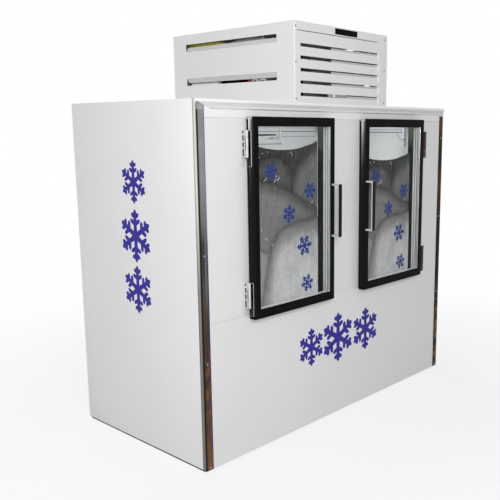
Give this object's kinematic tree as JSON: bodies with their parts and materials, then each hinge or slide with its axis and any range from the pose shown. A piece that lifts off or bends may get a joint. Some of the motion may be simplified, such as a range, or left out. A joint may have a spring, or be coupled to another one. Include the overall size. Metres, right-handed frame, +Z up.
{
  "type": "ice merchandiser freezer",
  "caption": "Upright ice merchandiser freezer with hinged glass doors, insulated cabinet and a louvred refrigeration housing on its roof.",
  "frame": {"origin": "centre of the cabinet's rectangular base, on the underside that stands on the ground", "axes": "+Z up, -Y out of the front with the doors, +X to the right seen from the front"},
  "size_m": [1.863, 1.022, 1.95],
  "materials": {
    "white_paint": "smooth gloss white baked enamel on sheet steel",
    "liner_white": "white coated liner sheet",
    "galvanised_steel": "bare galvanised sheet",
    "polished_steel": "polished stainless sheet",
    "chrome": "bright plated die casting",
    "black_frame": "satin black aluminium extrusion",
    "clear_glass": "clear insulated glass",
    "bright_aluminium": "mill finish spacer bar",
    "white_plastic": "white extruded bead",
    "gasket_rubber": "soft dark magnetic gasket",
    "moulded_film": "grey glossy moulded sheet",
    "insulation_foam": "foamed insulation",
    "black_metal": "black enamel",
    "coil_metal": "finned aluminium",
    "copper": "drawn copper tube",
    "dark_plastic": "moulded dark plastic"
  },
  "bodies": {
    "cabinet": {"base_plate": "galvanised_steel", "left_side_panel": "white_paint", "right_side_panel": "white_paint", "back_panel": "galvanised_steel", "top_panel": "white_paint", "front_lower_panel": "white_paint", "front_door_panel": "white_paint", "front_header_panel": "white_paint", "cabinet_insulation": "insulation_foam", "inner_liner": "liner_white", "door_jambs": "polished_steel", "left_corner_trim": "polished_steel", "right_corner_trim": "polished_steel", "trim_rivets": "polished_steel", "header_cap": "white_paint", "hinge_flanges": "chrome", "hinge_pins": "chrome", "panel_screws": "polished_steel", "housing_left_panel": "white_paint", "housing_right_panel": "white_paint", "housing_back_panel": "white_paint", "housing_lid": "white_paint", "front_grille": "white_paint", "blank_plate": "black_metal", "machine_tray": "galvanised_steel", "compressor": "black_metal", "compressor_feet": "gasket_rubber", "condenser_coil": "coil_metal", "fan_shroud": "black_metal", "condenser_motor": "coil_metal", "control_box": "galvanised_steel", "power_inlet": "dark_plastic", "refrigerant_lines": "copper", "evaporator_cover": "liner_white", "evaporator_coil": "coil_metal", "evaporator_motors": "coil_metal", "interior_light": "liner_white", "thermometer": "polished_steel", "floor_grate": "galvanised_steel"},
    "left_door": {"left_door_frame": "black_frame", "left_door_glass": "clear_glass", "left_glass_spacer": "bright_aluminium", "left_glazing_bead": "white_plastic", "left_door_gasket": "gasket_rubber", "left_door_handle": "chrome", "left_hinge_straps": "chrome", "left_display_insert": "moulded_film"},
    "right_door": {"right_door_frame": "black_frame", "right_door_glass": "clear_glass", "right_glass_spacer": "bright_aluminium", "right_glazing_bead": "white_plastic", "right_door_gasket": "gasket_rubber", "right_door_handle": "chrome", "right_hinge_straps": "chrome", "right_display_insert": "moulded_film"},
    "condenser_fan": {"condenser_fan": "dark_plastic"},
    "evaporator_fan_left": {"evaporator_fan_left": "dark_plastic"},
    "evaporator_fan_right": {"evaporator_fan_right": "dark_plastic"},
    "thermostat_knob": {"thermostat_knob": "dark_plastic"}
  },
  "joints": [
    {"name": "left_door_hinge", "type": "hinge", "parent": "cabinet", "child": "left_door", "pos_m": [-0.681, -0.487, 1.08], "axis": [0, 0, -1], "range_deg": [0, 110], "stiffness_Nm_per_rad": 4},
    {"name": "right_door_hinge", "type": "hinge", "parent": "cabinet", "child": "right_door", "pos_m": [0.681, -0.487, 1.08], "axis": [0, 0, 1], "range_deg": [0, 110], "stiffness_Nm_per_rad": 4},
    {"name": "condenser_fan_spin", "type": "hinge", "parent": "cabinet", "child": "condenser_fan", "pos_m": [0.03, -0.282, 1.721], "axis": [0, 1, 0], "continuous": true},
    {"name": "evaporator_fan_left_spin", "type": "hinge", "parent": "cabinet", "child": "evaporator_fan_left", "pos_m": [-0.4125, 0.142, 1.462], "axis": [0, 1, 0], "continuous": true},
    {"name": "evaporator_fan_right_spin", "type": "hinge", "parent": "cabinet", "child": "evaporator_fan_right", "pos_m": [-0.0375, 0.142, 1.462], "axis": [0, 1, 0], "continuous": true},
    {"name": "thermostat_knob_turn", "type": "hinge", "parent": "cabinet", "child": "thermostat_knob", "pos_m": [0.235, 0.1675, 1.715], "axis": [0, -1, 0], "range_deg": [0, 270]}
  ]
}
